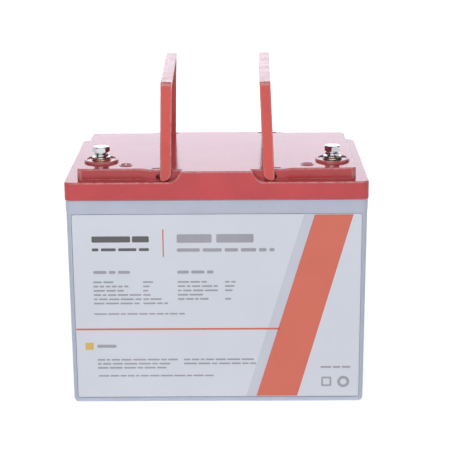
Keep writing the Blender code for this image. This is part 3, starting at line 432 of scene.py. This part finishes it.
def make_bolt(pole, mat):
    """Hexagon bolt with a chamfered crown, a dished top and a washer face."""
    node = f"terminal_bolt_{pole}"
    centre, low, high = middle_of(node)
    washer_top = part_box(f"spring_washer_{pole}")[1].z
    under = washer_top + BOLT_GAP
    turn = bolt_turn(node, centre)
    corner = max((v.co - centre).xy.length for v in NODES[node].data.vertices)
    flat = corner * math.cos(math.pi / 6)
    shank = flat * SHANK_SHARE

    def hexagon(shrink):
        def radius(angle):
            part = (angle - turn) % (math.pi / 3) - math.pi / 6
            return min(corner, flat / math.cos(part)) - shrink
        return radius

    def crown(drop, shrink):
        def z(angle):
            over = max(0.0, hexagon(shrink)(angle) - flat * CROWN_FROM)
            return high - drop - over * math.tan(CROWN_SLOPE)
        return z

    def foot(rise, shrink):
        def z(angle):
            over = max(0.0, hexagon(shrink)(angle) - flat * FOOT_FROM)
            return under + HEAD_STEP + rise + over * math.tan(CROWN_SLOPE) * FOOT_EASE
        return z

    profile = [
        (AXIS_RADIUS, low), (shank - AXIS_RADIUS, low), (shank, low + SHANK_TIP), (shank, under),
        (flat * FACE_SHARES[0], under), (flat * FACE_SHARES[1], under + FACE_EDGE),
        (flat * FACE_SHARES[1], under + HEAD_STEP),
        (hexagon(HEAD_ROUND), foot(0.0, HEAD_ROUND)), (hexagon(0.0), foot(HEAD_ROUND, 0.0)),
        (hexagon(0.0), crown(CROWN_ROUND, 0.0)),
        (hexagon(CROWN_ROUND), crown(CROWN_LIP, CROWN_ROUND)),
    ]
    profile += [(flat * share, high - drop) for share, drop in DISH]
    profile.append((AXIS_RADIUS, high - DISH_DEPTH))
    bm = lathe(profile, centre, HEAD_COLUMNS, closed=False, start=turn)
    add_piece(f"bolt_{pole}", bm, mat, (node,), slot=SLOTS[node], angle=25)


def make_spring_washer(pole, mat):
    """Split washer of rounded wire whose free end lifts."""
    node = f"spring_washer_{pole}"
    centre, low, high = middle_of(node)
    points = [v.co - centre for v in NODES[node].data.vertices]
    outer = max(p.xy.length for p in points)
    hole = min(p.xy.length for p in points)
    thick, edge = (high - low) * WIRE_SHARE, WIRE_EDGE
    rise = high - low - thick
    shape = (rounded_corner(outer - edge, thick - edge, edge, 0)
             + rounded_corner(hole + edge, thick - edge, edge, 90)
             + rounded_corner(hole + edge, edge, edge, 180)
             + rounded_corner(outer - edge, edge, edge, 270))
    bm = bmesh.new()
    rings = []
    for i in range(WIRE_STEPS + 1):
        angle = SPLIT_START + SPLIT_HALF + (2 * math.pi - 2 * SPLIT_HALF) * i / WIRE_STEPS
        lift = low + rise * i / WIRE_STEPS
        rings.append([bm.verts.new((centre.x + r * math.cos(angle),
                                    centre.y + r * math.sin(angle), lift + z))
                      for r, z in shape])
    rings_between(bm, rings)
    bm.faces.new(list(reversed(rings[0])))
    bm.faces.new(rings[-1])
    add_piece(f"split_washer_{pole}", bm, mat, (node,), slot=SLOTS[node], angle=40)


def make_flat_washer(pole, mat):
    """Stamped flat washer: rolled on one side, sharp on the other."""
    node = f"flat_washer_{pole}"
    centre, low, high = middle_of(node)
    points = [(v.co - centre).xy.length for v in NODES[node].data.vertices]
    outer, hole = max(points), min(points)
    edge = WASHER_EDGE
    profile = [(hole, low), (outer - WASHER_BURR, low), (outer, low + WASHER_BURR)]
    profile += rounded_corner(outer - edge, high - edge, edge, 0)
    profile += rounded_corner(hole + edge, high - edge, edge, 90)
    bm = lathe(profile, centre)
    add_piece(f"plain_washer_{pole}", bm, mat, (node,), slot=SLOTS[node])


def make_potting(pole, mat):
    """Cast ring in the well, creeping up the collar and the insert."""
    node = f"terminal_seal_{pole}"
    centre, low, high = middle_of(node)
    points = [(v.co - centre).xy.length for v in NODES[node].data.vertices]
    outer, hole = max(points), min(points)
    width = outer - hole

    def wavy(level, size):
        def z(angle):
            return high - level + size * math.sin(3 * angle + 0.7) * math.sin(angle)
        return z

    profile = [(hole, low), (outer, low)]
    for i in range(POTTING_STEPS + 1):
        share = i / POTTING_STEPS
        creep = abs(2 * share - 1) ** 4
        level = wavy(MENISCUS * (1 - creep), RIPPLE * (1 - creep))
        profile.append((outer - width * share, level))
    bm = lathe(profile, centre)
    add_piece(f"potting_{pole}", bm, mat, (node,), slot=SLOTS[node], angle=50)


# ---------------------------------------------------------------- label print

def label_frame():
    """The label's x and z limits and a function for its leaning front face."""
    low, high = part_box("front_label")
    verts = [v.co for v in NODES["front_label"].data.vertices]
    bottom = min((v for v in verts if v.z < low.z + 0.003), key=lambda v: v.y)
    top = min((v for v in verts if v.z > high.z - 0.003), key=lambda v: v.y)
    lean = (top.y - bottom.y) / (top.z - bottom.z)

    def face_y(z, layer):
        return bottom.y + lean * (z - bottom.z) - layer * PRINT_LIFT
    return low, high, face_y


LABEL_LOW, LABEL_HIGH, face_y = label_frame()
LABEL_INSET = 0.0006


def printed(name, shapes, mat, layer=1):
    """Ink on the label: flat outlines of (x, z) points, each a thin closed film."""
    bm = bmesh.new()
    for shape in shapes:
        rings = []
        for height in (layer - 1, layer):
            rings.append([bm.verts.new((x, face_y(z, height), z)) for x, z in shape])
        rings_between(bm, rings)
        bm.faces.new(list(reversed(rings[0])))
        bm.faces.new(rings[-1])
    add_piece(name, bm, mat, slot=SLOTS["front_label"])


def bar(x_range, z_range, radius=None):
    """Outline of a bar with round ends."""
    (left, right), (bottom, top) = x_range, z_range
    r = min(radius if radius is not None else (top - bottom) / 2, (right - left) / 2)
    return (rounded_corner(right - r, top - r, r, 0, 3)
            + rounded_corner(left + r, top - r, r, 90, 3)
            + rounded_corner(left + r, bottom + r, r, 180, 3)
            + rounded_corner(right - r, bottom + r, r, 270, 3))


def words(x_range, middle, height, seed):
    """A line of blank copy: short bars with gaps, like words too small to read."""
    left, right = x_range
    shapes, x, step = [], left, seed
    while x < right - height:
        step = (step * 7 + 5) % 11
        length = height * (2.2 + 0.55 * step)
        end = min(x + length, right)
        shapes.append(bar((x, end), (middle - height / 2, middle + height / 2), height * 0.35))
        x = end + height * 0.8
    return shapes


def make_label_print(mats):
    """A generic layout: slanted band, rules and blank lines of copy, with no lettering."""
    low, high = LABEL_LOW.z + LABEL_INSET, LABEL_HIGH.z - LABEL_INSET
    top, bottom = BAND_TOP, BAND_BOTTOM
    stripe = [(bottom[0] - STRIPE_WIDTH, low), (bottom[0], low), (top[0], high),
              (top[0] - STRIPE_WIDTH, high)]
    printed("print_stripe", [stripe], mats["ink_pale"])
    band = [(bottom[0], low), (bottom[1], low), (top[1], high), (top[0], high)]
    rule_x = LABEL_LOW.x + LABEL_INSET
    rule_end = RULE_END_X - RULE_CUT
    rule = [(rule_x, RULE_Z[0]), (rule_end, RULE_Z[0]), (rule_end, RULE_Z[1]),
            (rule_x, RULE_Z[1])]
    upright = bar((-0.0468, -0.0458), (0.1358, 0.1606), 0.0)
    printed("print_band", [band, rule, upright], mats["ink_red"], 2)

    dark = [bar((-0.1078, -0.0745), HEADING_Z, 0.001), bar((-0.0730, -0.0585), HEADING_Z, 0.001)]
    dark += words((-0.1078, -0.0585), 0.1425, 0.0026, 4)
    printed("print_heading", dark, mats["ink_dark"])

    grey = [bar((-0.0345, -0.0045), TITLE_Z, 0.001), bar((-0.0005, 0.0315), TITLE_Z, 0.001)]
    grey += words((-0.0345, 0.0495), 0.1419, 0.0030, 2)
    for left, right, seed in ((-0.1072, -0.0755, 3), (-0.0345, 0.0014, 6)):
        grey += words((left, right), 0.1220, 0.0026, seed)
    printed("print_titles", grey, mats["ink_grey"])

    copy = []
    for i, (left_end, value_end) in enumerate(zip(LEFT_ENDS, VALUE_ENDS)):
        z = COPY_TOP - COPY_PITCH * i
        copy += words((LEFT_X, left_end), z, COPY_HEIGHT, i)
        copy += words((VALUE_X, value_end), z, COPY_HEIGHT, i + 5)
        if i < len(RIGHT_ENDS):
            copy += words((RIGHT_X, RIGHT_ENDS[i]), z, COPY_HEIGHT, i + 2)
            if i != 3:
                copy += words((RIGHT_VALUE_X, 0.0160 - 0.001 * i), z, COPY_HEIGHT, i + 1)
    copy += words((-0.1075, -0.0285), 0.0838, 0.0014, 7)
    copy += words((-0.1060, -0.0870), 0.0538, 0.0028, 5)
    for i, (z, end) in enumerate(zip(NOTE_Z, NOTE_ENDS)):
        copy += words((-0.1060, end), z, COPY_HEIGHT, i + 3)
        if i < len(NOTE_RIGHT_ENDS):
            copy += words((-0.0300, NOTE_RIGHT_ENDS[i]), z, COPY_HEIGHT, i + 6)
    copy += words((-0.1055, -0.0025), 0.0258, 0.0014, 2)
    copy += words((0.0905, 0.1172), 0.0334, 0.0017, 8)
    copy += [bar((0.0912, 0.1002), (0.0152, 0.0242), 0.0012)]
    copy += [bar((0.1052, 0.1162), (0.0140, 0.0250), 0.0055)]
    printed("print_copy", copy, mats["ink_grey"])
    holes = [bar((0.0928, 0.0986), (0.0168, 0.0226), 0.0004)]
    holes += [bar((0.1078, 0.1136), (0.0166, 0.0224), 0.0029)]
    printed("print_cutouts", holes, mats["label_film"], 2)
    marker = [(-0.1162, 0.0505), (-0.1092, 0.0505), (-0.1092, 0.0570), (-0.1162, 0.0570)]
    printed("print_marker", [marker], mats["ink_amber"])


# ---------------------------------------------------------------- finishes

TERMINAL_AXIS = tuple(abs(c) for c in middle_of("terminal_bolt_negative")[0].xy)
RINGS = ((TERMINAL_AXIS[0], -TERMINAL_AXIS[1]), 0.00035)

# the paler-edge share in each finish is a painted highlight along its bevels
FINISHES = {
    "lid_red": dict(color=(0.54, 0.048, 0.058), rough=0.12, dust=0.030, peel=(260, 1.2e-6),
                    scratch=0.05, scratch_way=(0.06, 1, 1), edge_highlight=0.24, edge=0.0012),
    "handle_red": dict(color=(0.62, 0.080, 0.072), rough=0.22, specular=0.42, dust=0.026,
                       peel=(300, 1.5e-6), scratch=0.06, scratch_way=(1, 0.05, 0.05),
                       edge_highlight=0.20, edge=0.0010),
    "case_grey": dict(color=(0.465, 0.505, 0.62), rough=0.36, grain=(3200, 4e-6), edge_highlight=0.10,
                      cloud=0.03, edge=0.0008, scratch=0.05, scratch_way=(1, 1, 0.06)),
    "label_film": dict(color=(0.645, 0.675, 0.755), rough=0.07, cloud=0.012, mottle=0.008,
                       peel=(130, 4e-6), grain=(1800, 0.8e-6), edge_highlight=0.05, coat=0.2),
    "plated_steel": dict(color=(0.58, 0.58, 0.60), rough=0.15, metallic=1.0, edge_highlight=0.10,
                         cloud=0.06, rings=RINGS, tint=(0.66, 0.66, 0.62), edge=0.00015),
    "brass_insert": dict(color=(0.74, 0.56, 0.30), rough=0.26, metallic=1.0, rings=RINGS,
                         tint=(0.50, 0.36, 0.20), edge=0.0002),
    "seal_red": dict(color=(0.58, 0.05, 0.05), rough=0.12, peel=(500, 4e-6), coat=0.3),
    "seal_black": dict(color=(0.022, 0.022, 0.028), rough=0.10, peel=(500, 4e-6), coat=0.3),
    "cell_film": dict(color=(0.05, 0.16, 0.50), rough=0.30, peel=(90, 8e-6)),
    "epoxy_board": dict(color=(0.60, 0.66, 0.40), rough=0.55, scratch=0.1,
                        scratch_way=(1, 0.1, 1), tint=(0.52, 0.58, 0.30)),
    "tinned_copper": dict(color=(0.80, 0.50, 0.38), rough=0.32, metallic=1.0,
                          tint=(0.66, 0.60, 0.56)),
    "strap_steel": dict(color=(0.60, 0.61, 0.62), rough=0.32, metallic=1.0, scratch=0.15,
                        scratch_way=(0.04, 0.04, 1)),
    "foam": dict(color=(0.030, 0.030, 0.032), rough=0.95, grain=(900, 3e-5), cloud=0.2),
    "aluminium": dict(color=(0.76, 0.77, 0.78), rough=0.38, metallic=1.0, scratch=0.12,
                      scratch_way=(1, 0.05, 1)),
    "circuit_board": dict(color=(0.02, 0.16, 0.07), rough=0.35, tint=(0.03, 0.22, 0.10)),
    "white_nylon": dict(color=(0.85, 0.85, 0.82), rough=0.50),
    "cable_red": dict(color=(0.60, 0.02, 0.02), rough=0.60, grain=(1500, 8e-6)),
    "cable_black": dict(color=(0.02, 0.02, 0.02), rough=0.60, grain=(1500, 8e-6)),
    "ink_red": dict(color=(0.66, 0.135, 0.085), rough=0.07, cloud=0.02, peel=(130, 4e-6),
                    coat=0.2, edge_highlight=0.0),
    "ink_pale": dict(color=(0.56, 0.58, 0.67), rough=0.07, cloud=0.02, peel=(130, 4e-6),
                     coat=0.2, edge_highlight=0.0),
    "ink_grey": dict(color=(0.34, 0.34, 0.40), rough=0.18, cloud=0.05, coat=0.2, edge_highlight=0.0),
    "ink_dark": dict(color=(0.09, 0.09, 0.10), rough=0.18, cloud=0.05, coat=0.2, edge_highlight=0.0),
    "ink_amber": dict(color=(0.72, 0.46, 0.12), rough=0.18, cloud=0.05, coat=0.2, edge_highlight=0.0),
}


# ---------------------------------------------------------------- studio

def make_camera():
    data = bpy.data.cameras.new("camera")
    data.sensor_width = CAMERA_SENSOR
    data.lens = CAMERA_LENS
    data.clip_start = 0.05
    camera = bpy.data.objects.new("camera", data)
    bpy.context.scene.collection.objects.link(camera)
    ahead = Vector((math.sin(CAMERA_YAW) * math.cos(CAMERA_PITCH),
                    math.cos(CAMERA_YAW) * math.cos(CAMERA_PITCH), -math.sin(CAMERA_PITCH)))
    level = Vector((math.cos(CAMERA_YAW), -math.sin(CAMERA_YAW), 0.0))
    upright = level.cross(ahead)
    right = math.cos(CAMERA_ROLL) * level + math.sin(CAMERA_ROLL) * upright
    up = right.cross(ahead)
    turn = Matrix((right, up, -ahead)).transposed().to_4x4()
    camera.matrix_world = Matrix.Translation(CAMERA_AT) @ turn
    bpy.context.scene.camera = camera


def make_floor():
    """Pale sheet with an even glow, a little stronger far from the battery."""
    mesh = bpy.data.meshes.new("floor")
    s = FLOOR_HALF
    mesh.from_pydata([(-s, -s, 0), (s, -s, 0), (s, s, 0), (-s, s, 0)], [], [(0, 1, 2, 3)])
    floor = bpy.data.objects.new("floor", mesh)
    bpy.context.scene.collection.objects.link(floor)
    n = Nodes("floor")
    n.shader.inputs["Base Color"].default_value = (FLOOR_ALBEDO,) * 3 + (1.0,)
    n.shader.inputs["Roughness"].default_value = 0.7
    split = n.new("ShaderNodeSeparateXYZ")
    n.link(n.place, split.inputs["Vector"])
    glow = n.ramp(n.math("ABSOLUTE", split.outputs["Y"]), *FAR_EDGE, FLOOR_GLOW,
                  FLOOR_GLOW + FAR_GLOW)
    n.shader.inputs["Emission Color"].default_value = (1.0, 1.0, 1.0, 1.0)
    n.link(glow, n.shader.inputs["Emission Strength"])
    mesh.materials.append(n.material)


def make_lights():
    world = bpy.data.worlds.new("studio")
    bpy.context.scene.world = world
    world.use_nodes = True
    sky = world.node_tree.nodes["Background"]
    sky.inputs["Color"].default_value = (1.0, 1.0, 1.0, 1.0)
    sky.inputs["Strength"].default_value = WORLD_LEVEL
    for name, place, turn, size, radiance, color in LAMPS:
        lamp = bpy.data.lights.new(name, "AREA")
        lamp.shape = "RECTANGLE"
        lamp.size, lamp.size_y = size
        lamp.energy = radiance * math.pi * size[0] * size[1]
        lamp.color = color
        holder = bpy.data.objects.new(name, lamp)
        holder.location = place
        holder.rotation_euler = (math.radians(turn), 0, 0)
        bpy.context.scene.collection.objects.link(holder)


def main():
    make_camera()
    make_floor()
    make_lights()
    bpy.context.scene.view_settings.view_transform = "Standard"
    mats = {name: finish(name, **values) for name, values in FINISHES.items()}
    for name, obj in NODES.items():
        obj.data.materials.clear()
        obj.data.materials.append(mats[SLOTS[name]])
    refined("case", mats["case_grey"])
    refined("lid", mats["lid_red"])
    refined("front_label", mats["label_film"])
    refined("handle_left", mats["handle_red"])
    refined("handle_right", mats["handle_red"])
    for pole in POLES:
        make_bolt(pole, mats["plated_steel"])
        make_spring_washer(pole, mats["plated_steel"])
        make_flat_washer(pole, mats["plated_steel"])
        make_potting(pole, mats[SLOTS[f"terminal_seal_{pole}"]])
    make_label_print(mats)


main()
